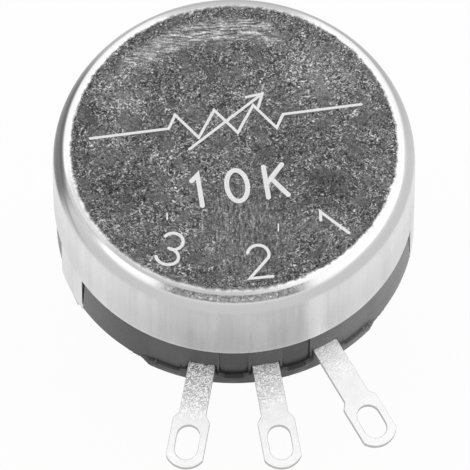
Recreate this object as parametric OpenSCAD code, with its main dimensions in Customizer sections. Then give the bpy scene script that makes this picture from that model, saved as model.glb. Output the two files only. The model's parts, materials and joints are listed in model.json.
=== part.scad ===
// Rotary potentiometer: drawn steel can over a moulded base, three solder tags,
// threaded mounting bushing and a slotted round shaft.
// The shaft axis is Z. The mounting face lies at z = 0 and the can's closed back is on top.
// Bearings run round the axis from -Y, and are positive towards +X.

/* [Can] */
// Outer diameter of the can
can_d = 28; // [27:0.5:30]
// Height of the can from its open edge to its flat back
can_h = 7.5; // [6:0.5:12]
// Thickness of the can's sheet
can_wall = 0.4; // [0.3:0.05:0.45]
// Outer radius of the drawn edge round the back
can_edge_r = 1.3; // [1:0.1:3]
// Width of each tab that folds under the front plate
tab_w = 3.7; // [2:0.1:4.5]
// How far each folded tab laps over the front plate
tab_lap = 1.6; // [1:0.1:2]
// Bearing of the two tabs beside the terminals
tab_side_bearing = 75; // [70:0.5:80]
// Bearing of the two tabs on the far side
tab_far_bearing = 144.5; // [120:0.5:160]
// Clearance between a tab and its notch in the base
tab_clear = 0.15; // [0.1:0.05:0.3]

/* [Front plate] */
// Thickness of the front plate's sheet
plate_t = 0.4; // [0.4:0.05:0.6]
// How far the plate's edge lies inside the side of the base's flange
plate_margin = 0.8; // [0.6:0.05:1]
// Width of the plate's flat rim round its raised mounting face
plate_rim_w = 3.1; // [2.9:0.1:4]
// Height of the mounting face over the plate's rim
plate_dish = 0.7; // [0.65:0.05:1]
// Width of the sloping ring between face and rim
plate_slope_w = 0.7; // [0.5:0.1:0.9]
// Depth of the coined seat under the bushing's shoulder
seat_depth = 0.1; // [0.05:0.05:0.2]
// Bearing of the locating lug
lug_bearing = -77; // [-79:0.5:-76]
// Width of the locating lug
lug_w = 0.9; // [0.8:0.1:1.2]
// How far the lug stands out past the mounting face
lug_len = 2.2; // [1:0.1:3]
// Clearance round the lug where it passes the base and the tab
lug_clear = 0.15; // [0.1:0.05:0.3]
// Flat land between the plate's slope and its step for the terminal block
plate_land = 0.3; // [0.2:0.05:0.5]

/* [Base] */
// Distance from the mounting face to the can's open edge
base_h = 5; // [4.6:0.1:6]
// How far the side of the base's flange lies inside the can's
flange_inset = 0.2; // [0.1:0.05:0.35]
// Distance from the mounting face to the front of the flange
flange_front = 1; // [0.9:0.05:1.3]
// Thickness of the base's side wall inside the can
wall_t = 1.6; // [1.2:0.1:1.8]
// Height of the collar that centres the can on the base
collar_h = 1.2; // [0.8:0.1:2]
// Clearance between the collar and the can
collar_clear = 0.1; // [0.05:0.05:0.2]
// Thickness of the base's floor
floor_t = 0.6; // [0.6:0.05:1]
// Width of the ledge that carries the element board
ledge_w = 0.9; // [0.6:0.1:1.1]

/* [Terminal block] */
// Half the angle that the terminal block covers
block_half_angle = 38; // [34:0.5:42]
// Distance from the mounting face to the front of the terminal block
block_front = 0.25; // [0.1:0.05:0.5]
// How far the terminal block stands out past the flange
block_proud = 0.2; // [0:0.05:0.3]
// How far the terminal block reaches in past the board's ledge
block_lap = 2.6; // [2:0.1:2.8]
// Distance from the mounting face to the joint line between block and base
joint_z = 1.15; // [1.05:0.05:1.3]
// Width of the open joint line between block and base
joint_gap = 0.1; // [0.05:0.01:0.15]
// Clearance at the block's ends
block_clear = 0.08; // [0.05:0.01:0.15]
// Radius of the hollow curve at each side of a post's foot
post_foot_r = 0.7; // [0.4:0.05:0.75]
// Depth of the hollow in the base's side between neighbouring terminals
hollow_depth = 0.15; // [0.05:0.05:0.2]
// Width of the upright land between a terminal's opening and the hollow
hollow_land = 0.2; // [0.1:0.05:0.5]

/* [Terminals] */
// Thickness of the terminals' sheet
tag_t = 0.45; // [0.35:0.05:0.5]
// Width of a terminal's strip
tag_w = 2.1; // [1.8:0.1:2.3]
// Angle between neighbouring terminals
tag_pitch = 20.5; // [19:0.5:22]
// Slope of each tag below the horizontal
tag_slope = 10; // [4:1:24]
// Length of the sloping tag, from the bend to the rounded tip
tag_len = 8.5; // [7:0.1:11]
// How much farther tag 1 stands out of the base than the other two
tag_1_extra = 0.7; // [0:0.1:1]
// Width of the tag's rounded head
head_w = 2.9; // [2.6:0.1:3.4]
// Length of the tag's head
head_len = 3.95; // [3.9:0.05:5]
// How much larger the tip's radius is than half the head's width
tip_ease = 0.25; // [0.05:0.05:0.4]
// Length of the taper between strip and head
shoulder_len = 0.5; // [0.2:0.1:0.6]
// Width of the oval eyelet
eye_w = 1.8; // [1.5:0.1:2.1]
// Length of the oval eyelet
eye_len = 2.8; // [2.2:0.1:3]
// Distance from the tip to the eyelet's edge
eye_edge = 0.7; // [0.4:0.05:0.8]
// Radius at the middle of the tag's bend
bend_r = 0.4; // [0.3:0.05:0.6]
// Distance from the flange's side in to the start of the bend
bend_inset = 0.05; // [0:0.05:0.2]
// Distance from the edge of the element board to the rivets' heads
rivet_edge = 0.2; // [0.1:0.05:0.3]
// Outer radius of a rivet's tube
rivet_r = 0.6; // [0.5:0.05:0.7]
// Bore radius of a rivet's tube
rivet_bore_r = 0.35; // [0.25:0.05:0.4]
// Radius of a rivet's rolled heads
rivet_head_r = 0.85; // [0.8:0.05:0.95]
// Thickness of a rivet's rolled heads
rivet_head_t = 0.25; // [0.2:0.05:0.3]
// Clearance of the rivets and the spigot in their holes
rivet_clear = 0.04; // [0.02:0.01:0.08]

/* [Bushing and shaft] */
// Major diameter of the bushing's thread
bush_d = 10; // [9:0.1:10]
// Length of the bushing beyond the mounting face
bush_len = 8; // [6:0.5:12]
// Chamfer at the bushing's free end
bush_chamfer = 0.4; // [0.2:0.1:0.6]
// Width of the shoulder between the thread and the spigot that is spun over
shoulder_w = 0.9; // [0.7:0.05:1.1]
// Overhang of the spun rim round the spigot
spun_w = 0.8; // [0.5:0.1:0.9]
// Thickness of the spun rim
spun_t = 0.35; // [0.25:0.05:0.45]
// Diameter of the shaft
shaft_d = 6; // [5.6:0.1:6.2]
// Distance from the mounting face to the shaft's free end
shaft_len = 15; // [13:0.5:30]
// Chamfer at the shaft's free end
shaft_chamfer = 0.5; // [0.3:0.1:0.8]
// Radial running clearance of the shaft in the bushing
shaft_clear = 0.04; // [0.02:0.01:0.08]
// Width of the screwdriver slot
slot_w = 1; // [0.8:0.1:1.4]
// Depth of the screwdriver slot
slot_depth = 1.4; // [1:0.1:2]
// Thickness of the retaining ring
ring_t = 0.5; // [0.4:0.05:0.6]
// Depth of the retaining ring's groove
groove_depth = 0.5; // [0.3:0.05:0.7]
// How far the retaining ring stands out of the shaft
ring_out = 0.9; // [0.6:0.1:1.3]
// Angle of the gap in the retaining ring
ring_gap_angle = 60; // [40:5:120]
// Axial play between bushing and retaining ring
end_play = 0.1; // [0.05:0.01:0.15]

/* [Rotor] */
// Whole angle that the shaft turns through
travel = 300; // [270:5:310]
// Step in radius from the shaft down to its flatted stretch
drive_step = 0.4; // [0.3:0.05:0.6]
// Depth of each of the two flats
flat_depth = 0.5; // [0.3:0.05:0.7]
// Clearance round the flatted stretch
drive_clear = 0.04; // [0.02:0.01:0.08]
// Thickness of the thrust washer under the stop arm
washer_t = 0.15; // [0.1:0.05:0.3]
// How far the thrust washer's edge lies inside the spun rim
washer_inset = 0.3; // [0.1:0.1:0.6]
// Thickness of the stop arm
arm_t = 0.5; // [0.4:0.05:0.9]
// Width of the stop arm
arm_w = 3; // [2:0.1:3.4]
// Radial room between the stop arm's tip and the terminals' inner ends
arm_room = 2.2; // [2:0.1:3]
// How far the stop arm's round middle lies inside the spun rim
arm_inset = 0.5; // [0.2:0.1:0.8]
// Clearance between stop arm and stop block at the ends of the travel
stop_clear = 0.06; // [0.03:0.01:0.12]
// How far the stop block reaches past the arm's tip, and keeps off the spun rim
stop_margin = 0.3; // [0.1:0.05:0.4]
// Thickness of the rotor disc
rotor_t = 2.2; // [1.6:0.1:3]
// Radial room between the rotor disc and the base's side wall
rotor_room = 1.3; // [0.9:0.1:1.8]
// How far the rotor's hub lies inside the edge of the arm's round middle
hub_inset = 0.6; // [0.4:0.1:0.8]
// Height of the rotor's boss above the disc
boss_h = 0.8; // [0.6:0.1:1.4]
// Radius of the rotor's boss above the disc
boss_r = 4.2; // [3.8:0.1:4.4]
// Thickness of the push-on washer that holds the rotor
clip_t = 0.4; // [0.3:0.05:0.6]
// Outer radius of the push-on washer
clip_r = 4; // [3.6:0.1:4.2]
// Length of the shaft's tip above the push-on washer
tip_len = 0.8; // [0.5:0.1:1]
// Thickness of the contact spring
spring_t = 0.25; // [0.2:0.05:0.3]
// Width of the contact spring's ring
spring_ring_w = 2.8; // [2.6:0.1:3]
// Width of the contact spring's finger
finger_w = 2.4; // [2:0.1:3]
// Radius of the rivets that hold the contact spring
spring_rivet_r = 0.5; // [0.4:0.05:0.6]
// Height of the heads of the spring's rivets
spring_head_t = 0.35; // [0.25:0.05:0.5]

/* [Element] */
// Thickness of the element board
board_t = 1; // [0.8:0.05:1.2]
// Gap between the stop arm and the element board
board_gap = 0.15; // [0.1:0.05:0.3]
// Radial room round the rotor's hub in the element board
hub_room = 0.5; // [0.3:0.05:0.6]
// Distance from the collector ring to the resistive track
ring_track_gap = 0.5; // [0.4:0.05:1]
// Distance from the resistive track to the rivets' heads
track_rivet_gap = 0.3; // [0.2:0.05:0.6]
// Angle that the track runs on past each end of the travel
track_overrun = 2; // [0:0.5:3]
// Width of the silvered pads under the outer terminals' rivets
pad_w = 2; // [1.8:0.1:2.2]
// Thickness of the resistive track and its silvered ends
film_t = 0.1; // [0.06:0.01:0.15]
// Distance from the board's hole to the collector ring
collector_inset = 0.8; // [0.6:0.1:1]
// Width of the collector ring
collector_w = 1.2; // [1:0.1:1.5]
// Thickness of the collector ring
collector_t = 0.3; // [0.2:0.05:0.4]
// Radius of the brush on the track
outer_brush_r = 0.7; // [0.5:0.05:0.9]
// Radius of the brush on the collector ring
inner_brush_r = 0.55; // [0.4:0.05:0.6]
// Running gap between a brush and what it slides on
brush_gap = 0.03; // [0.02:0.01:0.05]
// Height of the air space between element board and rotor
rotor_gap = 0.85; // [0.8:0.05:1.2]

/* [Hidden] */
$fn = 96;
eps = 0.01;
cut = 30;
arc_steps = 12;

can_r = can_d / 2;
can_in_r = can_r - can_wall;
flange_r = can_r - flange_inset;
plate_r = flange_r - plate_margin;
face_r = plate_r - plate_rim_w - plate_slope_w;
block_r = flange_r + block_proud;
bush_r = bush_d / 2;
spigot_r = bush_r - shoulder_w;
rim_r = spigot_r + spun_w;
shaft_r = shaft_d / 2;

// Heights through the stack, each from the one below
can_top_z = base_h + can_h;
tab_z = plate_dish - can_wall;
plate_back_z = plate_dish + plate_t;
floor_z = plate_back_z + floor_t;
arm_z = floor_z + washer_t + end_play / 2;
board_z = arm_z + arm_t + board_gap;
board_top_z = board_z + board_t;
tag_z = board_z - tag_t;
rotor_z = board_top_z + rotor_gap;
rotor_top_z = rotor_z + rotor_t;
boss_top_z = rotor_top_z + boss_h;
shaft_top_z = boss_top_z + clip_t + tip_len;
spring_top_z = rotor_top_z + spring_t;

// Radii that follow from what fits beside them
collar_r = can_in_r - collar_clear;
wall_in_r = collar_r - wall_t;
board_r = wall_in_r - collar_clear;
ledge_r = wall_in_r - ledge_w;
tab_notch_r = can_in_r - collar_clear / 2;
tab_in_r = plate_r - tab_lap;
rivet_at = board_r - rivet_edge - rivet_head_r;
block_in_r = ledge_r - block_lap;
block_step_r = face_r + plate_slope_w + plate_land;
block_gap_angle = half_angle(2 * block_clear, block_r);
lug_r = plate_r + plate_t;
post_angle = half_angle(tag_w + 2 * (block_clear + hollow_land), flange_r);
tag_root_r = flange_r - bend_inset;
post_in_r = rivet_at + rivet_head_r + block_clear;

// Radii of what turns, and of what it slides on
ring_r = shaft_r + ring_out;
drive_r = shaft_r - drive_step;
drive_half = drive_r - flat_depth;
washer_r = rim_r - washer_inset;
arm_hub_r = rim_r - arm_inset;
arm_r = rivet_at - tag_w / 2 - arm_room;
hub_r = arm_hub_r - hub_inset;
rotor_r = wall_in_r - rotor_room;
spring_rivet_at = boss_r + spring_ring_w / 2;
board_hole_r = hub_r + hub_room;
collector_in_r = board_hole_r + collector_inset;
collector_out_r = collector_in_r + collector_w;
collector_at = (collector_in_r + collector_out_r) / 2;
track_in_r = collector_out_r + ring_track_gap;
track_out_r = rivet_at - rivet_head_r - track_rivet_gap;
track_at = (track_in_r + track_out_r) / 2;

tag_bearings = [tag_pitch, 0, -tag_pitch];
// the four tabs in order round the can, with the first one again at the end
tab_bearings = [-tab_far_bearing, -tab_side_bearing, tab_side_bearing, tab_far_bearing,
  360 - tab_far_bearing];
stop_bearing = 180 - travel / 2;
track_end_bearing = stop_bearing - track_overrun;

function half_angle(w, r) = asin(w / 2 / r);
function on_arc(c, r, a) = [c[0] + r * cos(a), c[1] + r * sin(a)];
function turned(p, a) = [p[0] * cos(a) - p[1] * sin(a), p[0] * sin(a) + p[1] * cos(a)];

module at_bearing(b) {
  rotate([0, 0, b]) children();
}

// Ring with a square section, between two bearings
module arc_ring(r0, r1, z0, z1, b0, b1) {
  rotate([0, 0, b0 - 90])
    rotate_extrude(angle = b1 - b0)
      translate([r0, z0]) square([r1 - r0, z1 - z0]);
}

// Ring with a square section, all the way round
module ring(r0, r1, z0, z1) {
  difference() {
    translate([0, 0, z0]) cylinder(r = r1, h = z1 - z0);
    translate([0, 0, z0 - eps]) cylinder(r = r0, h = z1 - z0 + 2 * eps);
  }
}

// Block that reaches outwards from radius r0 to r1 at bearing 0
module radial_bar(w, r0, r1, z0, z1) {
  translate([-w / 2, -r1, z0]) cube([w, r1 - r0, z1 - z0]);
}

// Section through the drawn can: flat back, rounded edge, straight wall and folded tab
module can_section() {
  top_c = [can_r - can_edge_r, can_top_z - can_edge_r];
  fold_c = [can_in_r, plate_dish];
  polygon(concat(
    [[0, can_top_z]],
    [for (i = [0:arc_steps]) on_arc(top_c, can_edge_r, 90 - 90 / arc_steps * i)],
    [for (i = [0:arc_steps / 2]) on_arc(fold_c, can_wall, -180 / arc_steps * i)],
    [[tab_in_r, tab_z], [tab_in_r, plate_dish], [can_in_r, plate_dish]],
    [for (i = [0:arc_steps]) on_arc(top_c, can_edge_r - can_wall, 90 / arc_steps * i)],
    [[0, can_top_z - can_wall]]
  ));
}

// Drawn can with four tabs left standing below its open edge and folded in
module can() {
  half = half_angle(tab_w, can_r);
  lug_half = half_angle(lug_w + 2 * lug_clear, plate_r);
  color("silver") difference() {
    rotate_extrude() can_section();
    for (i = [0:3])
      arc_ring(tab_in_r - 1, cut, -1, base_h, tab_bearings[i] + half, tab_bearings[i + 1] - half);
    // the fold is cut short where the locating lug stands beside it
    arc_ring(tab_in_r - 1, lug_r + lug_clear, -1, plate_dish + eps, -tab_side_bearing - half - 1,
      lug_bearing + lug_half);
  }
}

// Dished front plate with the bent lug that keys the body to a panel
module front_plate() {
  color("gainsboro") union() {
    difference() {
      rotate_extrude() polygon([
        [spigot_r + rivet_clear, seat_depth],
        [bush_r + rivet_clear, seat_depth],
        [bush_r + rivet_clear, 0],
        [face_r, 0],
        [face_r + plate_slope_w, plate_dish],
        [plate_r, plate_dish],
        [plate_r, plate_back_z],
        [face_r + plate_slope_w - plate_t / 2, plate_back_z],
        [face_r - plate_t / 2, plate_t],
        [spigot_r + rivet_clear, plate_t]
      ]);
      arc_ring(block_step_r, cut, -1, cut, -block_half_angle - 1, block_half_angle + 1);
    }
    at_bearing(lug_bearing) {
      radial_bar(lug_w, plate_r - 1, lug_r, plate_dish, plate_back_z);
      radial_bar(lug_w, plate_r, lug_r, -lug_len, plate_back_z);
    }
  }
}

// Outline of one post of the terminal block, seen from outside, grown by g
module post_outline(g, top_z) {
  half = tag_w / 2 + g;
  foot_c = [half + post_foot_r, joint_z + post_foot_r];
  side = concat(
    [[half + post_foot_r, joint_z - 1]],
    [for (i = [0:arc_steps / 2]) on_arc(foot_c, post_foot_r, -90 - 180 / arc_steps * i)],
    [[half, top_z]]
  );
  other = [for (i = [len(side) - 1:-1:0]) [-side[i][0], side[i][1]]];
  polygon(concat(side, other));
}

module posts(g, top_z) {
  for (b = tag_bearings) at_bearing(b)
    translate([0, -ledge_r + 1, 0]) rotate([90, 0, 0]) linear_extrude(cut) post_outline(g, top_z);
}

// Wedge on the floor that the stop arm meets at both ends of its travel
module stop_block() {
  h = arm_w / 2 + stop_clear;
  a = stop_bearing;
  side = turned([-h, -cut], a);
  intersection() {
    ring(rim_r + stop_margin, arm_r + stop_margin, floor_z - eps, board_z);
    translate([0, 0, floor_z - eps]) linear_extrude(board_z - floor_z + eps)
      polygon([[0, -h / sin(a)], side, [-side[0], side[1]]]);
  }
}

// Moulded base: flange, collar for the can, ledge for the board and floor
module base() {
  color("dimgray") difference() {
    union() {
      rotate_extrude() polygon([
        [spigot_r + rivet_clear, plate_t],
        [face_r - plate_t / 2, plate_t],
        [face_r + plate_slope_w - plate_t / 2, plate_back_z],
        [plate_r + rivet_clear, plate_back_z],
        [plate_r + rivet_clear, flange_front],
        [flange_r, flange_front],
        [flange_r, base_h],
        [collar_r, base_h],
        [collar_r, base_h + collar_h],
        [wall_in_r, base_h + collar_h],
        [wall_in_r, board_z],
        [ledge_r, board_z],
        [ledge_r, floor_z],
        [rim_r + rivet_clear, floor_z],
        [rim_r + rivet_clear, floor_z - spun_t],
        [spigot_r + rivet_clear, floor_z - spun_t]
      ]);
      stop_block();
    }
    // room for the terminal block, its posts and the terminals
    rotate([0, 0, -90 - block_half_angle - block_gap_angle])
      rotate_extrude(angle = 2 * (block_half_angle + block_gap_angle)) polygon([
        [block_in_r - block_clear, -1],
        [cut, -1],
        [cut, joint_z],
        [ledge_r + block_clear, joint_z],
        [ledge_r + block_clear, board_z - eps],
        [block_in_r - block_clear, board_z - eps]
      ]);
    posts(block_clear, board_z + block_clear / 2);
    for (b = [-tag_pitch, 0])
      arc_ring(flange_r - hollow_depth, cut, -1, base_h, b + post_angle, b + tag_pitch - post_angle);
    for (i = [0:3]) {
      half = half_angle(tab_w + 2 * tab_clear, can_r);
      arc_ring(tab_notch_r, cut, -1, base_h, tab_bearings[i] - half, tab_bearings[i] + half);
    }
    at_bearing(lug_bearing)
      radial_bar(lug_w + 2 * lug_clear, plate_r - 0.5, cut, -1, plate_back_z + lug_clear);
  }
}

// Moulded block that closes the base under the terminals, with a post under each tag
module terminal_block() {
  top_z = joint_z - joint_gap;
  color("dimgray") difference() {
    rotate([0, 0, -90 - block_half_angle])
      rotate_extrude(angle = 2 * block_half_angle) polygon([
        [block_step_r + block_clear, block_front],
        [block_r, block_front],
        [block_r, tag_z],
        [post_in_r, tag_z],
        [post_in_r, top_z],
        [ledge_r, top_z],
        [ledge_r, floor_z],
        [block_in_r, floor_z],
        [block_in_r, plate_back_z],
        [block_step_r + block_clear, plate_back_z]
      ]);
    difference() {
      arc_ring(post_in_r - block_clear, cut, top_z, cut, -90, 90);
      posts(0, cut + 1);
    }
    for (b = tag_bearings) at_bearing(b) tag_blade_space();
  }
}

// Places what follows at the end of a terminal's flat part, sloping down with its tag
module on_tag_slope() {
  translate([0, -tag_root_r, tag_z - bend_r + tag_t / 2])
    rotate([tag_slope, 0, 0])
      translate([0, 0, bend_r]) children();
}

// Room under and over a sloping tag, cut from the block's posts
module tag_blade_space() {
  on_tag_slope()
    translate([-cut / 2, -cut, -tag_t / 2 - block_clear]) cube([cut, cut + bend_r, tag_t * 3]);
}

// Outline of the sloping tag: strip, shoulders, head with a rounded tip, and oval eyelet
module tag_outline(len) {
  tip_r = head_w / 2 + tip_ease;
  head_y = -(len - tip_r);
  neck_y = -(len - head_len);
  eye_y = -(len - eye_edge - eye_w / 2);
  difference() {
    union() {
      translate([-tag_w / 2, head_y]) square([tag_w, -head_y]);
      intersection() {
        translate([0, head_y]) circle(r = tip_r);
        translate([-head_w / 2, -len]) square([head_w, tip_r]);
      }
      polygon([[-tag_w / 2, neck_y + shoulder_len], [tag_w / 2, neck_y + shoulder_len],
        [head_w / 2, neck_y], [head_w / 2, head_y], [-head_w / 2, head_y], [-head_w / 2, neck_y]]);
    }
    translate([0, eye_y]) circle(r = eye_w / 2);
    translate([0, eye_y + eye_len - eye_w]) circle(r = eye_w / 2);
    translate([-eye_w / 2, eye_y]) square([eye_w, eye_len - eye_w]);
  }
}

// One terminal: round end under its rivet, flat part, bend and sloping tag
module terminal(len) {
  difference() {
    union() {
      translate([0, -rivet_at, tag_z]) cylinder(r = tag_w / 2, h = tag_t);
      radial_bar(tag_w, rivet_at, tag_root_r, tag_z, board_z);
      translate([-tag_w / 2, -tag_root_r, tag_z - bend_r + tag_t / 2])
        rotate([180, -90, 0]) rotate_extrude(angle = tag_slope)
          translate([bend_r - tag_t / 2, 0]) square([tag_t, tag_w]);
      on_tag_slope()
        translate([0, 0, -tag_t / 2]) linear_extrude(tag_t) tag_outline(len);
    }
    translate([0, -rivet_at, tag_z - 1]) cylinder(r = rivet_r + rivet_clear, h = tag_t + 2);
  }
}

module terminal_1() {
  color("whitesmoke") at_bearing(tag_bearings[0]) terminal(tag_len + tag_1_extra);
}

module terminal_2() {
  color("whitesmoke") at_bearing(tag_bearings[1]) terminal(tag_len);
}

module terminal_3() {
  color("whitesmoke") at_bearing(tag_bearings[2]) terminal(tag_len);
}

// Tubular rivet through a terminal, the board and the metal on top of it
module terminal_rivet(top_z) {
  translate([0, -rivet_at, 0]) {
    ring(rivet_bore_r, rivet_r, tag_z - rivet_head_t, top_z + rivet_head_t);
    ring(rivet_bore_r, rivet_head_r, tag_z - rivet_head_t, tag_z);
    ring(rivet_bore_r, rivet_head_r, top_z, top_z + rivet_head_t);
  }
}

module rivet_1() {
  color("gold") at_bearing(tag_bearings[0]) terminal_rivet(board_top_z + film_t);
}

module rivet_2() {
  color("gold") at_bearing(tag_bearings[1]) terminal_rivet(board_top_z + collector_t);
}

module rivet_3() {
  color("gold") at_bearing(tag_bearings[2]) terminal_rivet(board_top_z + film_t);
}

// Cuts the holes for the three terminal rivets
module rivet_holes() {
  for (b = tag_bearings) at_bearing(b)
    translate([0, -rivet_at, 0]) cylinder(r = rivet_r + rivet_clear, h = cut);
}

module element_board() {
  color("saddlebrown") difference() {
    ring(board_hole_r, board_r, board_z, board_top_z);
    rivet_holes();
  }
}

module carbon_track() {
  color("black")
    arc_ring(track_in_r, track_out_r, board_top_z, board_top_z + film_t,
      track_end_bearing, 360 - track_end_bearing);
}

// Silvered end of the track, with the tongue that runs out to its rivet
module end_pad() {
  color("lightgray") difference() {
    union() {
      at_bearing(tag_pitch)
        radial_bar(pad_w, track_at, rivet_at + rivet_head_r, board_top_z, board_top_z + film_t);
      arc_ring(track_in_r, track_out_r, board_top_z, board_top_z + film_t,
        tag_pitch - half_angle(pad_w, track_in_r), track_end_bearing);
    }
    rivet_holes();
  }
}

module end_pad_1() {
  end_pad();
}

module end_pad_3() {
  mirror([1, 0, 0]) end_pad();
}

// Collector ring with the tongue that runs out to the middle terminal
module collector_ring() {
  color("gold") difference() {
    union() {
      ring(collector_in_r, collector_out_r, board_top_z, board_top_z + collector_t);
      radial_bar(tag_w, collector_at, rivet_at + rivet_head_r, board_top_z,
        board_top_z + collector_t);
    }
    rivet_holes();
  }
}

// Brass bushing: threaded barrel outside, spigot spun over inside the base
module bushing() {
  color("tan") rotate_extrude() polygon([
    [shaft_r + shaft_clear, -bush_len],
    [bush_r - bush_chamfer, -bush_len],
    [bush_r, -bush_len + bush_chamfer],
    [bush_r, seat_depth],
    [spigot_r, seat_depth],
    [spigot_r, floor_z - spun_t],
    [rim_r, floor_z - spun_t],
    [rim_r, floor_z - spun_t / 2],
    [spigot_r + spun_w / 2, floor_z],
    [shaft_r + shaft_clear, floor_z]
  ]);
}

// Flatted section that drives the stop arm and the rotor, grown by g
module drive(z0, z1, g) {
  intersection() {
    translate([0, 0, z0]) cylinder(r = drive_r + g, h = z1 - z0);
    translate([-drive_half - g, -cut / 2, z0]) cube([2 * (drive_half + g), cut, z1 - z0]);
  }
}

module shaft() {
  groove_z = -bush_len - end_play - ring_t;
  color("lightgray") union() {
    difference() {
      union() {
        translate([0, 0, -shaft_len])
          cylinder(r1 = shaft_r - shaft_chamfer, r2 = shaft_r, h = shaft_chamfer);
        translate([0, 0, -shaft_len + shaft_chamfer])
          cylinder(r = shaft_r, h = shaft_len - shaft_chamfer + arm_z);
      }
      translate([0, 0, groove_z - end_play / 2])
        difference() {
          cylinder(r = shaft_r + 1, h = ring_t + end_play);
          translate([0, 0, -eps])
            cylinder(r = shaft_r - groove_depth, h = ring_t + end_play + 2 * eps);
        }
      translate([-slot_w / 2, -cut / 2, -shaft_len - eps]) cube([slot_w, cut, slot_depth + eps]);
    }
    drive(arm_z - eps, shaft_top_z, 0);
  }
}

// Open ring in the shaft's groove, just outside the bushing
module retaining_ring() {
  groove_z = -bush_len - end_play - ring_t;
  color("gray") arc_ring(shaft_r - groove_depth + end_play / 2, ring_r, groove_z, groove_z + ring_t,
    ring_gap_angle / 2, 360 - ring_gap_angle / 2);
}

module thrust_washer() {
  color("khaki") ring(shaft_r + shaft_clear, washer_r, floor_z, floor_z + washer_t);
}

module stop_arm() {
  color("gray") difference() {
    union() {
      translate([0, 0, arm_z]) cylinder(r = arm_hub_r, h = arm_t);
      at_bearing(180) radial_bar(arm_w, 0, arm_r, arm_z, arm_z + arm_t);
    }
    drive(arm_z - 1, arm_z + arm_t + 1, drive_clear);
  }
}

// Moulded rotor that carries the two brushes in through holes
module rotor_disc() {
  color("darkslategray") difference() {
    union() {
      translate([0, 0, arm_z + arm_t]) cylinder(r = hub_r, h = rotor_z - arm_z - arm_t + eps);
      translate([0, 0, rotor_z]) cylinder(r = rotor_r, h = rotor_t);
      translate([0, 0, rotor_top_z - eps]) cylinder(r = boss_r, h = boss_h + eps);
    }
    drive(arm_z, shaft_top_z, drive_clear);
    translate([0, track_at, 0]) cylinder(r = outer_brush_r + drive_clear, h = cut);
    translate([0, collector_at, 0]) cylinder(r = inner_brush_r + drive_clear, h = cut);
    for (s = [-1, 1])
      translate([s * spring_rivet_at, 0, 0]) cylinder(r = spring_rivet_r + drive_clear, h = cut);
  }
}

module outer_brush() {
  z = board_top_z + film_t + brush_gap;
  color("black") translate([0, track_at, z]) cylinder(r = outer_brush_r, h = rotor_top_z - z);
}

module inner_brush() {
  z = board_top_z + collector_t + brush_gap;
  color("black") translate([0, collector_at, z]) cylinder(r = inner_brush_r, h = rotor_top_z - z);
}

// Flat spring that presses both brushes down and joins them
module contact_spring() {
  color("goldenrod") difference() {
    union() {
      ring(boss_r + drive_clear, boss_r + spring_ring_w, rotor_top_z, spring_top_z);
      translate([-finger_w / 2, spring_rivet_at, rotor_top_z])
        cube([finger_w, track_at - spring_rivet_at, spring_t]);
      translate([0, track_at, rotor_top_z]) cylinder(r = finger_w / 2, h = spring_t);
    }
    for (s = [-1, 1])
      translate([s * spring_rivet_at, 0, 0]) cylinder(r = spring_rivet_r + drive_clear, h = cut);
  }
}

// Two solid rivets that hold the contact spring to the rotor
module spring_rivets() {
  color("gold") for (s = [-1, 1]) translate([s * spring_rivet_at, 0, 0]) {
    translate([0, 0, rotor_z]) cylinder(r = spring_rivet_r, h = spring_top_z - rotor_z);
    translate([0, 0, spring_top_z]) cylinder(r = 2 * spring_rivet_r, h = spring_head_t);
  }
}

module push_on_washer() {
  color("gray") difference() {
    translate([0, 0, boss_top_z]) cylinder(r = clip_r, h = clip_t);
    drive(boss_top_z - 1, shaft_top_z, drive_clear);
  }
}

can();
front_plate();
base();
terminal_block();
bushing();
terminal_1();
terminal_2();
terminal_3();
rivet_1();
rivet_2();
rivet_3();
element_board();
carbon_track();
end_pad_1();
end_pad_3();
collector_ring();
shaft();
retaining_ring();
thrust_washer();
stop_arm();
rotor_disc();
outer_brush();
inner_brush();
contact_spring();
spring_rivets();
push_on_washer();
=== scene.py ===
"""Looks of a rotary potentiometer: tinned can, moulded base, solder tags, bushing and shaft.

Everything is in metres in the part's frame: the shaft's axis is Z, the mounting face is z = 0, and
the tags point to -Y. Bearings are counted from -Y towards +X.
"""

import json
import math
import random

import bmesh
import bpy
from mathutils import Matrix, Vector

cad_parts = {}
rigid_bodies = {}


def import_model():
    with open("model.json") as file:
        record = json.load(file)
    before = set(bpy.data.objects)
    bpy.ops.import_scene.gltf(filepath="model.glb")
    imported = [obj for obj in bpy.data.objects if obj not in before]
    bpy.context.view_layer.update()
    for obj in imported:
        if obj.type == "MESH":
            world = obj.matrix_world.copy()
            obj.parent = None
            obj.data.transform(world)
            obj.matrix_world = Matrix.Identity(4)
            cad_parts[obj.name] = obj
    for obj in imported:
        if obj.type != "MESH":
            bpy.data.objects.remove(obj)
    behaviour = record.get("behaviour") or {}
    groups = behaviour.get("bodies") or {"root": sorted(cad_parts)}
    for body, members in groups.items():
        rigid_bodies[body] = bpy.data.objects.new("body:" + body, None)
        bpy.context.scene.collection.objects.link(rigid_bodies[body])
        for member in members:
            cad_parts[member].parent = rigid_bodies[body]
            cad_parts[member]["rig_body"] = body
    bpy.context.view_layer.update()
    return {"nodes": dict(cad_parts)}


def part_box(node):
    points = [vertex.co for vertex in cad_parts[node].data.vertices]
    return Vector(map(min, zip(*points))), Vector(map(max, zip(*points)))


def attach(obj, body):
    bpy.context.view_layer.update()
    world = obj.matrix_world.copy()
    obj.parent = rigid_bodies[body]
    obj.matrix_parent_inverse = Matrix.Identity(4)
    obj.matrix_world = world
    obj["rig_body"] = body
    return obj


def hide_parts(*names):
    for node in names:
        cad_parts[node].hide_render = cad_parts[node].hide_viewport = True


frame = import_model()

MM = 0.001
WHITE = (1.0, 1.0, 1.0)

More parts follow.
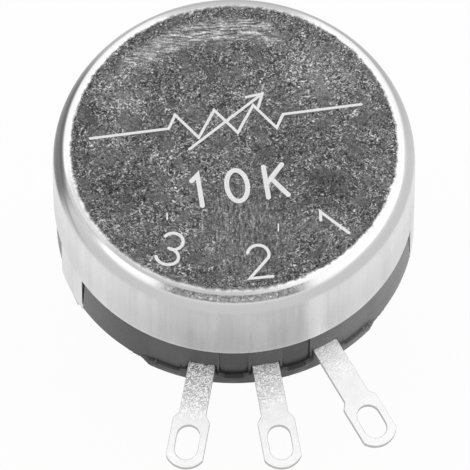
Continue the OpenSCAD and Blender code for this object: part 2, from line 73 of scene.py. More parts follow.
# the can: its quarter-round edge in the CAD, how far down the wall the drawn edge really falls,
# and the height of the wall's lower end
CAN_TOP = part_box("can")[1].z
CAN_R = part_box("can")[1].x
CAN_EDGE = 1.3 * MM
EDGE_DROP = 2.2 * MM
FLAT_R = CAN_R - CAN_EDGE
CAN_LOW = 5.0 * MM

# the mouldings: outer radius, radius behind which the hollows lie, height of the joint between
# base and block, and half the angle that the block takes, in degrees
BASE_R = 14.0 * MM
HOLLOW_R = 13.8 * MM
JOINT_Z = 1.1 * MM
BLOCK_END = 38.0

# mean greys of the can's flat back and of its wall; the back's dark grey is partly a painted dark
# reflection
BACK_LEVEL = 0.115
WALL_LEVEL = 0.56

# the photograph's view: bearing, elevation, distance, focal length over distance, place looked at
VIEW_TURN = math.radians(10.2)
VIEW_RISE = math.radians(60.4)
VIEW_DISTANCE = 1.0
VIEW_ZOOM = 0.98947
VIEW_TARGET = (-0.541, -3.466, 5.0)

# the shaft's end stands on the floor, which is a square
FLOOR_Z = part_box("shaft")[0].z
FLOOR_HALF = 1.6
FLOOR_CELLS = 12

# lamps: bearing, elevation, distance, size and power, all aimed at the same place
LAMPS = {
    "lamp_left": (-100, 30, 0.5, (0.35, 0.25), 0.30),
    "lamp_right": (80, 30, 0.5, (0.35, 0.25), 0.30),
    "lamp_front": (-10, 32, 0.6, (0.5, 0.16), 0.22),
    "lamp_back": (170, 62, 0.6, (0.3, 0.3), 0.18),
}
LAMP_TARGET = (0, 0, 5 * MM)
WORLD_LIGHT = 0.75


# Materials


class Tree:
    """The node tree of a material or a world, with short calls for the nodes used here."""

    def __init__(self, owner, output="ShaderNodeOutputMaterial"):
        owner.use_nodes = True
        self.owner = owner
        self.tree = owner.node_tree
        self.tree.nodes.clear()
        self.output = self.tree.nodes.new(output)

    def set(self, socket, value):
        if isinstance(value, bpy.types.NodeSocket):
            self.tree.links.new(value, socket)
        else:
            socket.default_value = value

    def node(self, kind, inputs=(), **props):
        n = self.tree.nodes.new(kind)
        for key, value in props.items():
            setattr(n, key, value)
        for key, value in dict(inputs).items():
            self.set(n.inputs[key], value)
        return n

    def finish(self, shader):
        """End the tree with a shader, and give back the material or world."""
        self.tree.links.new(shader, self.output.inputs["Surface"])
        return self.owner

    def position(self):
        return self.node("ShaderNodeTexCoord").outputs["Object"]

    def seen_from_the_tags(self, place):
        """The place with its x to the right and its y away from someone who looks at the tags."""
        inputs = {"Vector": place, "Rotation": (0, 0, VIEW_TURN)}
        return self.node("ShaderNodeMapping", inputs).outputs[0]

    def parts(self, vector):
        n = self.node("ShaderNodeSeparateXYZ", {0: vector})
        return n.outputs[0], n.outputs[1], n.outputs[2]

    def facing_up(self):
        """The z of the surface's normal."""
        return self.parts(self.node("ShaderNodeTexCoord").outputs["Normal"])[2]

    def radius(self, vector):
        """The vector's distance from the shaft's axis."""
        x, y, _ = self.parts(vector)
        return self.math("SQRT", self.plus(self.times(x, x), self.times(y, y)))

    def round_the_axis(self, vector, radius):
        """The vector with its x and y put on a circle, so that streaks run along the meridians."""
        x, y, z = self.parts(vector)
        flat = self.node("ShaderNodeCombineXYZ", {0: x, 1: y, 2: 0.0}).outputs[0]
        unit = self.node("ShaderNodeVectorMath", {0: flat}, operation="NORMALIZE").outputs[0]
        on = self.node("ShaderNodeVectorMath", {0: unit, 3: radius}, operation="SCALE").outputs[0]
        x, y, _ = self.parts(on)
        return self.node("ShaderNodeCombineXYZ", {0: x, 1: y, 2: z}).outputs[0]

    def away_from(self, vector, x, y):
        """How far the vector is from a place on the can's flat back, given in mm."""
        inputs = {0: vector, 1: (x * MM, y * MM, CAN_TOP)}
        return self.node("ShaderNodeVectorMath", inputs, operation="DISTANCE").outputs["Value"]

    def noise(self, vector, size, detail=2.0, rough=0.5, distortion=0.0):
        """Noise from 0 to 1 with features of about size metres, one number or three."""
        sizes = size if hasattr(size, "__len__") else (size, size, size)
        inputs = {"Vector": vector, "Scale": [1 / s for s in sizes]}
        scaled = self.node("ShaderNodeMapping", inputs).outputs[0]
        inputs = {"Vector": scaled, "Scale": 1.0, "Detail": detail, "Roughness": rough,
                  "Distortion": distortion}
        return self.node("ShaderNodeTexNoise", inputs).outputs["Fac"]

    def math(self, op, a, b=0.0):
        return self.node("ShaderNodeMath", {0: a, 1: b}, operation=op).outputs[0]

    def plus(self, value, *others):
        for other in others:
            value = self.math("ADD", value, other)
        return value

    def times(self, value, *others):
        for other in others:
            value = self.math("MULTIPLY", value, other)
        return value

    def minus(self, a, b):
        return self.math("SUBTRACT", a, b)

    def gap(self, a, b):
        """The difference without its sign."""
        return self.math("ABSOLUTE", self.minus(a, b))

    def swing(self, noise, gain, middle=0.5):
        """Noise as a change to both sides of nothing."""
        return self.times(self.minus(noise, middle), gain)

    def fit(self, value, lo, hi, to_lo=0.0, to_hi=1.0, smooth=True):
        """The value's way from lo to hi, laid out from to_lo to to_hi and held there beyond."""
        inputs = {"Value": value, "From Min": lo, "From Max": hi, "To Min": to_lo, "To Max": to_hi}
        kind = "SMOOTHSTEP" if smooth else "LINEAR"
        n = self.node("ShaderNodeMapRange", inputs, interpolation_type=kind, clamp=True)
        return n.outputs[0]

    def mix(self, share, a, b):
        n = self.node("ShaderNodeMix", {0: share, 2: a, 3: b}, data_type="FLOAT", clamp_factor=True)
        return n.outputs[0]

    def paint(self, value, tint=WHITE):
        """A colour from a grey value, with a slight tint."""
        parts = [self.times(value, share) for share in tint]
        inputs = dict(zip(("Red", "Green", "Blue"), parts))
        return self.node("ShaderNodeCombineColor", inputs).outputs[0]

    def bump(self, height, depth, strength):
        inputs = {"Height": height, "Distance": depth, "Strength": strength}
        return self.node("ShaderNodeBump", inputs).outputs[0]

    def surface(self, color, metallic, roughness, normal):
        inputs = {"Base Color": color, "Metallic": metallic, "Roughness": roughness,
                  "Normal": normal}
        return self.finish(self.node("ShaderNodeBsdfPrincipled", inputs).outputs[0])


def new_material(name):
    """An empty material's tree, and the place on the object that it colours."""
    t = Tree(bpy.data.materials.new(name))
    return t, t.position()


# painted sheen and shade on the flat back, as lighter and darker zones: x, y, radius in mm seen
# from the tags, and gain
SHEEN_AND_SHADE_ZONES = [(-9.0, 4.8, 3.0, 0.35), (6.4, 6.6, 4.0, 0.45), (7.6, -3.4, 2.8, -0.30),
         (-8.2, -3.8, 3.4, -0.25), (3.6, -0.4, 2.4, -0.15), (0.6, -6.6, 3.0, 0.25)]
# short bright scratches of the back: x, y and half sizes in mm seen from the tags
SCRATCHES = [(-5.14, -6.12, 0.07, 0.36), (3.41, -7.10, 0.07, 0.40)]
SCRATCH_LEVEL = 0.85
BACK_LIMIT = 0.70


def rolled_back(t, p):
    """The sheet's dark face, partly a painted dark reflection: curled grains, smooth patches,
    painted sheen and shade in zones, rolled strokes near the far edge.
    """
    seen = t.seen_from_the_tags(p)
    sx, sy, _ = t.parts(seen)
    r = t.radius(p)
    curls = t.noise(p, 0.36 * MM, 1.5, 0.55, 2.0)
    fine = t.noise(p, 0.115 * MM, 1.0, 0.6, 0.6)
    patch = t.fit(t.noise(p, 1.4 * MM, 3.0, 0.62), 0.36, 0.54, 0.36, 1.0)
    cloud = t.noise(p, 3.2 * MM, 3.0, 0.6)
    relief = t.plus(t.swing(curls, 6.5), t.swing(fine, 3.8))
    level = t.plus(t.times(relief, patch), t.swing(cloud, 1.2))
    # painted sheen and shade, zone by zone
    for x, y, size, gain in SHEEN_AND_SHADE_ZONES:
        near = t.fit(t.away_from(seen, x, y), size * MM, 0.2 * size * MM)
        level = t.plus(level, t.times(near, gain))

    # strokes that follow the far edge, and fine upright ones beside the near edge
    strokes = t.noise(seen, (1.0 * MM, 0.15 * MM, MM), 2.0, 0.6, 0.8)
    rolled = t.plus(t.swing(strokes, 7.0), 0.80, t.swing(fine, 2.5))
    ring = t.times(t.fit(r, 9.0 * MM, 10.2 * MM), t.fit(r, 11.9 * MM, 11.2 * MM))
    far = t.times(t.fit(sy, 6.0 * MM, 8.5 * MM), t.fit(sx, 5 * MM, 2 * MM))
    level = t.mix(t.times(ring, far, 0.85), level, rolled)
    upright = t.noise(seen, (0.11 * MM, 0.6 * MM, MM), 2.0, 0.6, 0.5)
    front = t.fit(t.away_from(seen, 1.0, -7.0), 5.5 * MM, 1.5 * MM, 0.0, 0.5)
    level = t.mix(front, level, t.swing(upright, 7.5))

    value = t.times(t.math("EXPONENT", level), BACK_LEVEL)
    for x, y, wide, high in SCRATCHES:
        across = t.fit(t.gap(sx, x * MM), wide * MM, 0.3 * wide * MM)
        along = t.fit(t.gap(sy, y * MM), high * MM, 0.7 * high * MM)
        value = t.mix(t.times(across, along), value, SCRATCH_LEVEL)
    return t.math("MINIMUM", value, BACK_LIMIT), t.plus(curls, t.times(fine, 0.5))


def drawn_edge(t, p, r):
    """The drawn edge's brightness: painted highlights and painted shade that differ all the way
    round.

    ahead is 1 next to the tags and -1 at the far edge, right is 1 on the right and -1 on the left,
    and out is the distance from the flat back.
    """
    sx, sy, _ = t.parts(t.seen_from_the_tags(p))
    ahead = t.math("DIVIDE", t.times(sy, -1.0), r)
    right = t.math("DIVIDE", sx, r)
    out = t.minus(r, FLAT_R)

    # painted highlight beside the flat back, weaker above the left lug and at the far edge, and
    # painted shade on the inner part of the bend at the front
    edge_highlight = t.plus(0.93, t.swing(t.noise(p, 0.2 * MM, 2.0, 0.6), 0.14))
    above_lug = t.times(t.fit(right, -0.68, -0.84), t.fit(ahead, 0.10, 0.32))
    edge_highlight = t.mix(above_lug, edge_highlight, 0.70)
    edge_highlight = t.mix(t.fit(ahead, -0.86, -0.97), edge_highlight, 0.56)
    inner = t.times(t.fit(out, 0.45 * MM, 0.33 * MM), t.fit(ahead, 0.2, 0.7),
                    t.fit(right, 0.5, 0.0), t.fit(right, -0.86, -0.68))
    value = t.mix(inner, edge_highlight, 0.54)

    # painted shade further out, darkest on the left
    start = t.fit(ahead, 0.45, 0.86, 0.46 * MM, 0.80 * MM)
    outer = t.fit(t.minus(out, start), -0.12 * MM, 0.12 * MM)
    outer_shade = t.fit(ahead, -0.6, 0.1, 0.46, 0.60)
    left = t.times(t.fit(right, -0.72, -0.94), t.fit(ahead, 0.42, 0.2))
    value = t.mix(outer, value, t.mix(left, outer_shade, 0.155))

    # above the left lug the painted highlight is toned down in the middle of the bend, and a
    # painted dark line ends the bend
    middle = t.times(t.fit(out, 0.28 * MM, 0.44 * MM), t.fit(out, 0.80 * MM, 0.56 * MM))
    value = t.mix(t.times(middle, above_lug), value, 0.34)
    beside = t.gap(out, t.fit(ahead, 0.1, 0.6, 0.86 * MM, 1.14 * MM))
    line = t.times(t.fit(beside, 0.10 * MM, 0.02 * MM), t.fit(right, -0.70, -0.85),
                   t.fit(ahead, 0.66, 0.30, 0.0, 0.6))
    value = t.mix(line, value, 0.22)

    # a painted dark reflection, mottled, runs along the bend next to the tags
    band = t.times(t.fit(out, 0.30 * MM, 0.40 * MM), t.fit(out, 0.86 * MM, 0.74 * MM),
                   t.fit(ahead, 0.87, 0.95))
    mottle = t.math("EXPONENT", t.swing(t.noise(p, 0.2 * MM, 2.0, 0.6, 1.0), 3.5))
    return t.mix(band, value, t.times(mottle, 0.25))


def can_material():
    """Tinned sheet: mottled and dark on the back, with a painted dark reflection there, painted
    highlights and shade on the edge, and painted side light on the streaked wall.
    """
    t, p = new_material("tinned_can")
    sx, _, z = t.parts(t.seen_from_the_tags(p))
    r = t.radius(p)
    back, back_height = rolled_back(t, p)

    m = t.round_the_axis(p, CAN_R)
    broad = t.noise(m, (2.2 * MM, 2.2 * MM, 30 * MM), 3.0, 0.55)
    narrow = t.noise(m, (0.35 * MM, 0.35 * MM, 9 * MM), 3.0, 0.6)
    grain = t.noise(p, 0.12 * MM, 2.0, 0.6)
    # painted side light: the wall is lighter towards its left and right as seen from the tags,
    # darker in the middle
    side = t.fit(t.math("ABSOLUTE", sx), 3.0 * MM, 11 * MM, WALL_LEVEL - 0.06, WALL_LEVEL + 0.17)
    upper = t.fit(z, CAN_TOP - 6 * MM, CAN_TOP - 2 * MM, -0.03, 0.05)
    streak = t.fit(t.gap(sx, 6.2 * MM), 1.2 * MM, 0.4 * MM, 0.0, 0.12)
    # a lighter line at the wall's lower end, partly wear and partly a painted highlight
    low_edge = t.fit(z, CAN_LOW + 0.35 * MM, CAN_LOW + 0.1 * MM)
    wall = t.plus(side, upper, streak, t.swing(broad, 0.30), t.swing(narrow, 0.16),
                  t.swing(grain, 0.12), t.times(low_edge, 0.06))

    on_edge = t.times(t.fit(r, CAN_R - 0.03 * MM, CAN_R - 0.14 * MM),
                      t.fit(z, CAN_TOP - EDGE_DROP, CAN_TOP - 0.8 * EDGE_DROP))
    value = t.mix(on_edge, wall, drawn_edge(t, p, r))
    wobble = t.swing(t.noise(p, 0.45 * MM, 3.0, 0.7), 0.5 * MM)
    on_flat = t.times(t.fit(t.plus(r, wobble), FLAT_R + 0.12 * MM, FLAT_R - 0.22 * MM),
                      t.fit(z, CAN_TOP - 0.2 * MM, CAN_TOP - 0.05 * MM))
    value = t.mix(on_flat, value, back)
    rough = t.mix(on_flat, t.fit(narrow, 0.2, 0.8, 0.24, 0.34, smooth=False), 0.42)
    height = t.mix(on_flat, t.times(grain, 0.25), back_height)
    return t.surface(t.paint(value), 1.0, rough, t.bump(height, 0.02 * MM, 0.6))


def sheet_material(name, level, rough, tint=WHITE):
    """Plated sheet metal with a faint grain and stains."""
    t, p = new_material(name)
    grains = t.noise(p, 0.14 * MM, 3.0, 0.6)
    stain = t.noise(p, 2.5 * MM, 4.0, 0.6)
    value = t.plus(level, t.swing(grains, 0.12), t.swing(stain, 0.14))
    roughness = t.fit(stain, 0.2, 0.8, rough - 0.06, rough + 0.08, smooth=False)
    return t.surface(t.paint(value, tint), 1.0, roughness, t.bump(grains, 0.01 * MM, 0.5))


def tag_material():
    """Tinned brass: crinkled solder near the base, most of it on the left, painted light near the
    roots on the right, and a smooth head.
    """
    t, p = new_material("tinned_tag")
    sx = t.parts(t.seen_from_the_tags(p))[0]
    leftward = t.fit(sx, 9 * MM, -5 * MM)
    reach = t.minus(t.radius(p), t.times(leftward, 1.2 * MM))
    near = t.fit(reach, 17.6 * MM, 14.6 * MM)
    folds = t.noise(p, 0.36 * MM, 1.0, 0.5, 1.6)
    crinkle = t.fit(t.gap(folds, 0.5), 0.085, 0.01)
    fine = t.noise(p, 0.12 * MM, 1.0, 0.6, 0.4)
    soft = t.noise(p, 1.2 * MM, 3.0, 0.6)
    relief = t.plus(t.swing(crinkle, 1.45, middle=0.36), t.swing(fine, 1.2))
    relief = t.times(relief, t.times(near, t.fit(leftward, 0.0, 1.0, 0.38, 1.0)))
    # painted light near the roots, stronger towards the right
    root_light = t.times(near, t.fit(leftward, 1.0, 0.0, 0.06, 0.18))
    level = t.plus(0.85, root_light, t.swing(soft, 0.14))
    value = t.math("MINIMUM", t.times(t.math("EXPONENT", relief), level), 1.0)
    value = t.plus(value, t.swing(fine, 0.12))

    # painted shade: the cut and eased sides, which face less upwards, are darker than the face
    value = t.mix(t.fit(t.facing_up(), 0.95, 0.80), value, 0.50)
    height = t.times(t.plus(crinkle, t.times(fine, 0.4)), t.mix(near, 0.1, 0.8))
    return t.surface(t.paint(value), 1.0, t.mix(near, 0.36, 0.30), t.bump(height, 0.05 * MM, 0.5))


def moulded_material(name, level, tint=WHITE, rough=0.5, hollow_r=0.0, joint_z=0.0):
    """Filled phenolic moulding: fine grain, flow marks, pale dust and crumbs along a joint, with
    painted light towards the sides and on upward faces, and painted shade under the can and in the
    hollows.
    """
    t, p = new_material(name)
    grains = t.noise(p, 0.11 * MM, 3.0, 0.65)
    flow = t.noise(p, (3.5 * MM, 3.5 * MM, 0.9 * MM), 4.0, 0.6, 0.6)
    dust = t.fit(t.noise(p, 0.3 * MM, 1.0, 0.5), 0.68, 0.78)
    value = t.times(level, t.plus(1.0, t.swing(grains, 0.55)), t.plus(1.0, t.swing(flow, 0.5)))

    # painted light towards both sides, and a painted shadow in the corner under the can's wall
    sx, _, z = t.parts(t.seen_from_the_tags(p))
    value = t.plus(value, t.fit(sx, 3 * MM, 13 * MM, 0.0, 2.6 * level),
                   t.fit(sx, -8 * MM, -13 * MM, 0.0, 1.2 * level))
    value = t.times(value, t.fit(z, 4.62 * MM, 4.48 * MM, 0.15, 1.0))
    # painted shade inside the hollows
    if hollow_r:
        inside = t.fit(t.radius(p), hollow_r - 0.03 * MM, hollow_r - 0.08 * MM)
        value = t.times(value, t.fit(inside, 0.0, 1.0, 1.0, 0.45))
    if joint_z:
        # painted light on faces that look up; the crumbs along the joint are real
        top_light = t.fit(t.facing_up(), 0.5, 0.9)
        crumbs = t.fit(t.noise(p, 0.15 * MM, 2.0, 0.6), 0.57, 0.68)
        along = t.times(t.fit(z, joint_z - 0.3 * MM, joint_z - 0.1 * MM),
                        t.fit(sx, -1 * MM, 3 * MM))
        value = t.plus(value, t.times(top_light, 0.05), t.times(crumbs, along, 0.16))
    value = t.plus(value, t.times(dust, 0.03))
    roughness = t.fit(flow, 0.25, 0.75, rough - 0.07, rough + 0.1, smooth=False)
    return t.surface(t.paint(value, tint), 0.0, roughness, t.bump(grains, 0.012 * MM, 0.6))


def turned_material(name, level, tint, rough):
    """Plated turned metal with fine tool rings round the axis."""
    t, p = new_material(name)
    rings = t.noise(p, (8 * MM, 8 * MM, 0.07 * MM), 3.0, 0.6)
    stain = t.noise(p, 1.6 * MM, 4.0, 0.6)
    value = t.plus(level, t.swing(rings, 0.10), t.swing(stain, 0.10))
    roughness = t.fit(stain, 0.2, 0.8, rough - 0.05, rough + 0.08, smooth=False)
    return t.surface(t.paint(value, tint), 1.0, roughness, t.bump(rings, 0.006 * MM, 0.5))


def film_material(name, level, tint, metallic, rough):
    """A printed or laid film with a slight grain, such as carbon or silver."""
    t, p = new_material(name)
    grains = t.noise(p, 0.09 * MM, 3.0, 0.65)
    value = t.times(level, t.plus(0.82, t.times(grains, 0.36)))
    return t.surface(t.paint(value, tint), metallic, rough, t.bump(grains, 0.008 * MM, 0.4))


def board_material():
    """Laminated board: paper fibres in clouded brown resin."""
    t, p = new_material("laminated_board")
    fibres = t.noise(p, (0.9 * MM, 0.14 * MM, 0.08 * MM), 3.0, 0.65, 0.5)
    clouds = t.noise(p, 3 * MM, 3.0, 0.6)
    value = t.plus(0.24, t.swing(fibres, 0.14), t.swing(clouds, 0.08))
    color = t.paint(value, (1.0, 0.58, 0.30))
    return t.surface(color, 0.0, 0.42, t.bump(fibres, 0.01 * MM, 0.5))


def ink_material():
    """Pale stamped marking, slightly uneven in cover."""
    t, p = new_material("pale_marking")
    cover = t.noise(p, 0.13 * MM, 3.0, 0.6)
    value = t.fit(cover, 0.25, 0.75, 0.72, 0.92, smooth=False)
    return t.surface(t.paint(value), 0.0, 0.5, t.bump(cover, 0.008 * MM, 0.5))


NICKEL = (1.0, 0.985, 0.95)
BRASS = (1.0, 0.80, 0.45)
MATERIALS = {
    "can": can_material(),
    "front_plate": sheet_material("zinc_plate", 0.56, 0.34),
    "base": moulded_material("base_moulding", 0.035, rough=0.30, hollow_r=HOLLOW_R),
    "terminal_block": moulded_material("block_moulding", 0.04, rough=0.34, joint_z=JOINT_Z),
    "bushing": turned_material("nickel_bushing", 0.58, NICKEL, 0.22),
    "shaft": turned_material("nickel_shaft", 0.60, NICKEL, 0.2),
    "terminal_1": tag_material(),
    "rivet_1": film_material("plain_brass", 0.62, BRASS, 1.0, 0.3),
    "element_board": board_material(),
    "carbon_track": film_material("carbon_film", 0.03, WHITE, 0.0, 0.55),
    "collector_ring": film_material("silvered", 0.72, (1.0, 0.99, 0.96), 1.0, 0.3),
    "retaining_ring": sheet_material("blued_steel", 0.30, 0.36, (0.95, 0.98, 1.0)),
    "thrust_washer": film_material("washer_plastic", 0.55, (1.0, 0.94, 0.76), 0.0, 0.45),
    "rotor_disc": moulded_material("rotor_moulding", 0.05, (1.0, 0.86, 0.74)),
    "contact_spring": sheet_material("bronze_spring", 0.55, 0.28, (1.0, 0.74, 0.48)),
}
SAME = {
    "terminal_2": "terminal_1", "terminal_3": "terminal_1",
    "rivet_2": "rivet_1", "rivet_3": "rivet_1", "spring_rivets": "rivet_1",
    "end_pad_1": "collector_ring", "end_pad_3": "collector_ring",
    "stop_arm": "front_plate",
    "outer_brush": "carbon_track", "inner_brush": "carbon_track",
    "push_on_washer": "retaining_ring",
}


def assign(obj, material):
    obj.data.materials.clear()
    obj.data.materials.append(material)


def material_of(node):
    return MATERIALS[SAME.get(node, node)]


for name, obj in frame["nodes"].items():
    assign(obj, material_of(name))


# Pieces


def new_object(bm, name):
    """The finished mesh as an object of the scene."""
    mesh = bpy.data.meshes.new(name)
    bm.to_mesh(mesh)
    bm.free()
    obj = bpy.data.objects.new(name, mesh)
    bpy.context.scene.collection.objects.link(obj)
    return obj


def apply_modifier(obj, kind, **settings):
    """Put the modifier's result in the place of the object's mesh."""
    mod = obj.modifiers.new(kind.lower(), kind)
    for key, value in settings.items():
        setattr(mod, key, value)
    depsgraph = bpy.context.evaluated_depsgraph_get()
    depsgraph.update()
    mesh = bpy.data.meshes.new_from_object(obj.evaluated_get(depsgraph))
    obj.modifiers.clear()
    old = obj.data
    obj.data = mesh
    bpy.data.meshes.remove(old)


def settle_normals(obj, angle):
    """Smooth shading with creases above the angle, and flat faces left flat."""
    obj.data.shade_smooth()
    obj.data.set_sharp_from_angle(angle=math.radians(angle))
    apply_modifier(obj, "WEIGHTED_NORMAL", keep_sharp=True, weight=80)


def body_of(node):
    return frame["nodes"][node]["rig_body"]


def eased(node, width, name, shape=None):
    """A copy of a CAD node's form with its edges eased, as drawn, stamped or moulded edges are."""
    bm = bmesh.new()
    bm.from_mesh(frame["nodes"][node].data)
    bmesh.ops.remove_doubles(bm, verts=bm.verts, dist=0.002 * MM)
    bmesh.ops.dissolve_limit(bm, angle_limit=math.radians(0.4), verts=bm.verts, edges=bm.edges)
    obj = new_object(bm, name)
    apply_modifier(obj, "BEVEL", width=width, segments=2, limit_method="ANGLE",
                   angle_limit=math.radians(32), use_clamp_overlap=True, miter_outer="MITER_ARC")
    if shape:
        shape(obj)
    settle_normals(obj, angle=40)
    assign(obj, material_of(node))
    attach(obj, body_of(node))
    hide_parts(node)


def taller_edge(obj):
    """The can's drawn edge, which falls further down the wall than it reaches over the back."""
    bend = CAN_TOP - CAN_EDGE
    hair = 0.01 * MM
    for v in obj.data.vertices:
        out = math.hypot(v.co.x, v.co.y) - FLAT_R
        up = v.co.z - bend
        on_bend = abs(math.hypot(out, up) - CAN_EDGE) < 3 * hair
        if up > -hair and out > -hair and on_bend:
            v.co.z = CAN_TOP - (CAN_TOP - v.co.z) * EDGE_DROP / CAN_EDGE


def ramp(value, span):
    """From 0 to 1 over the span, and held there beyond."""
    return min(max(value / span, 0.0), 1.0)


def drafted_wall(obj):
    """The base's outer wall, a little wider at its front edge on both sides of the block."""
    draft, fade, height = 0.22 * MM, 3, 4 * MM
    lug_bearing = -70
    wall_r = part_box("base")[1].x
    for v in obj.data.vertices:
        r = math.hypot(v.co.x, v.co.y)
        bearing = math.degrees(math.atan2(v.co.x, -v.co.y))
        share = ramp(abs(bearing) - BLOCK_END, fade) * ramp(CAN_LOW - v.co.z, height)
        if bearing < 0:
            share *= ramp(bearing - lug_bearing, fade)
        if r > wall_r - 0.25 * MM and v.co.z < CAN_LOW:
            grow = 1 + draft * share / r
            v.co.x *= grow
            v.co.y *= grow


eased("can", 0.09 * MM, "can_shell", shape=taller_edge)
eased("base", 0.10 * MM, "base_body", shape=drafted_wall)
eased("terminal_block", 0.08 * MM, "block_body")
eased("front_plate", 0.08 * MM, "plate_body")
eased("shaft", 0.05 * MM, "shaft_body")
eased("retaining_ring", 0.06 * MM, "snap_ring")
for number in (1, 2, 3):
    eased(f"terminal_{number}", 0.07 * MM, f"tag_{number}")


def flash(side, name):
    """Rough moulding flash along the base's front edge, next to one end of the terminal block."""
    chance = random.Random(7 + side)
    steps, inset, reach = 26, 2.2, 10
    root = 13.6 * MM
    bm = bmesh.new()
    rows = []
    for k in range(steps + 1):
        share = k / steps
        b = math.radians(side * (BLOCK_END - inset + reach * share))
        lump = math.exp(-((share - 0.20) / 0.18) ** 2)
        ragged = chance.uniform(0.0, 0.06) * (1 - 0.6 * share)
        out = BASE_R + (0.02 + 0.07 * lump + ragged) * MM
        low = (0.92 - 0.45 * lump - chance.uniform(0.0, 0.10)) * MM
        section = [(root, low + 0.05 * MM), (out - 0.08 * MM, low), (out, low + 0.12 * MM),
                   (out - 0.03 * MM, low + 0.34 * MM), (root, low + 0.62 * MM)]
        row = [bm.verts.new((r * math.sin(b), -r * math.cos(b), z)) for r, z in section]
        rows.append(row)
    corners = len(rows[0])
    for one, two in zip(rows, rows[1:]):
        for k in range(corners):
            j = (k + 1) % corners
            bm.faces.new((one[k], one[j], two[j], two[k]))
    bm.faces.new(rows[0])
    bm.faces.new(rows[-1])
    bmesh.ops.recalc_face_normals(bm, faces=bm.faces)
    obj = new_object(bm, name)
    settle_normals(obj, angle=35)
    assign(obj, MATERIALS["terminal_block"])
    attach(obj, "housing")


flash(-1, "flash_left")
flash(1, "flash_right")


def threaded_bushing():
    """The bushing with its fine thread: rows that climb with the helix, then its ends and bore."""
    pitch, crest, root = 0.75 * MM, 5.0 * MM, 4.56 * MM
    bore, mouth, mouth_depth, lead = 3.04 * MM, 3.34 * MM, 0.3 * MM, 4.55 * MM
    low, high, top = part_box("bushing")[0].z, -0.35 * MM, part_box("bushing")[1].z
    steps = 96
    phase = [(0.0, root), (0.12, root), (0.44, crest), (0.56, crest), (0.88, root)]
    turns = int((high - low) / pitch) + 2

    def bounded(z, r):
        """The place kept between the thread's ends, with a chamfer below and a full rim above."""
        z = min(max(z, low), high)
        full = crest if z > high - 0.02 * MM else r
        return z, min(full, lead + (z - low))

    bore_rows = [(top, bore), (low + mouth_depth, bore), (low, mouth)]
    rows = [[place] * steps for place in bore_rows]
    for turn in range(-1, turns + 1):
        for share, r in phase:
            row = [bounded(low + pitch * (turn + share + i / steps), r) for i in range(steps)]
            if any(low < z < high for z, _ in row) or turn == turns:
                rows.append(row)
    spun, rim, spigot, seat = 0.35 * MM, 4.9 * MM, 4.1 * MM, 0.1 * MM
    inner = [(seat, crest), (seat, spigot), (top - spun, spigot), (top - spun, rim),
             (top - spun / 2, rim), (top, (spigot + rim) / 2)]
    rows += [[place] * steps for place in inner]

    bm = bmesh.new()
    grid = []
    for row in rows:
        ring = []
        for i, (z, r) in enumerate(row):
            a = 2 * math.pi * i / steps
            ring.append(bm.verts.new((r * math.cos(a), r * math.sin(a), z)))
        grid.append(ring)
    last = len(rows) - len(inner)
    helix = range(len(bore_rows), last)
    lift = len(phase)
    for k in range(len(grid)):
        upper = (k + 1) % len(grid)
        for i in range(steps):
            j = (i + 1) % steps
            if k in helix and upper in helix and j == 0:
                # the last column meets the first one a pitch higher
                if k + lift < last and upper + lift < last:
                    bm.faces.new((grid[k][i], grid[k + lift][0], grid[upper + lift][0],
                                  grid[upper][i]))
            else:
                bm.faces.new((grid[k][i], grid[k][j], grid[upper][j], grid[upper][i]))
    bmesh.ops.remove_doubles(bm, verts=bm.verts, dist=0.001 * MM)
    bmesh.ops.recalc_face_normals(bm, faces=bm.faces)
    obj = new_object(bm, "bushing_thread")
    settle_normals(obj, angle=28)
    assign(obj, MATERIALS["bushing"])
    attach(obj, "housing")
    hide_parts("bushing")


threaded_bushing()


# thickness of a printed stroke, how deep it starts in the sheet, and the step between strokes
INK_HEIGHT = 0.014 * MM
INK_SUNK = 0.002 * MM
INK_LAYER = 0.003 * MM
INK = ink_material()


def ribbon(bm, points, width, z, closed=False):
    """A flat stroke along points from z upwards, with mitred joints and round ends."""
    half = width / 2
    top = z + INK_HEIGHT
    pts = [Vector(p) for p in points]
    n = len(pts)
    mitre_limit = 0.45
    cap_steps = 6

    def across(k):
        """The way from the point to the stroke's left edge, where both its sides meet."""
        ways = []
        if closed or k > 0:
            ways.append((pts[k] - pts[(k - 1) % n]).normalized())
        if closed or k < n - 1:
            ways.append((pts[(k + 1) % n] - pts[k]).normalized())
        sides = [Vector((-w.y, w.x)) for w in ways]
        middle = sum(sides, Vector((0, 0))).normalized()
        return middle * half / max(middle.dot(sides[0]), mitre_limit)

    def face(corners):
        bm.faces.new([bm.verts.new((q.x, q.y, h)) for q, h in corners])

    def wall(a, b):
        face([(a, z), (b, z), (b, top), (a, top)])

    left = [pts[k] + across(k) for k in range(n)]
    right = [pts[k] - across(k) for k in range(n)]
    for k in range(n if closed else n - 1):
        j = (k + 1) % n
        face([(q, top) for q in (right[k], right[j], left[j], left[k])])
        wall(right[k], right[j])
        wall(left[j], left[k])
    if closed:
        return
    for k, a in ((0, left[0]), (n - 1, right[-1])):
        start = math.atan2(a.y - pts[k].y, a.x - pts[k].x)
        cap = []
        for step in range(cap_steps + 1):
            angle = start + math.pi * step / cap_steps
            cap.append(Vector((pts[k].x + half * math.cos(angle),
                               pts[k].y + half * math.sin(angle))))
        face([(q, top) for q in cap])
        for c, d in zip(cap, cap[1:]):
            wall(c, d)


def arc(cx, cy, rx, ry, a0, a1, n):
    """Points on an ellipse from angle a0 to a1, in degrees."""
    out = []
    for k in range(n + 1):
        a = math.radians(a0 + (a1 - a0) * k / n)
        out.append((cx + rx * math.cos(a), cy + ry * math.sin(a)))
    return out


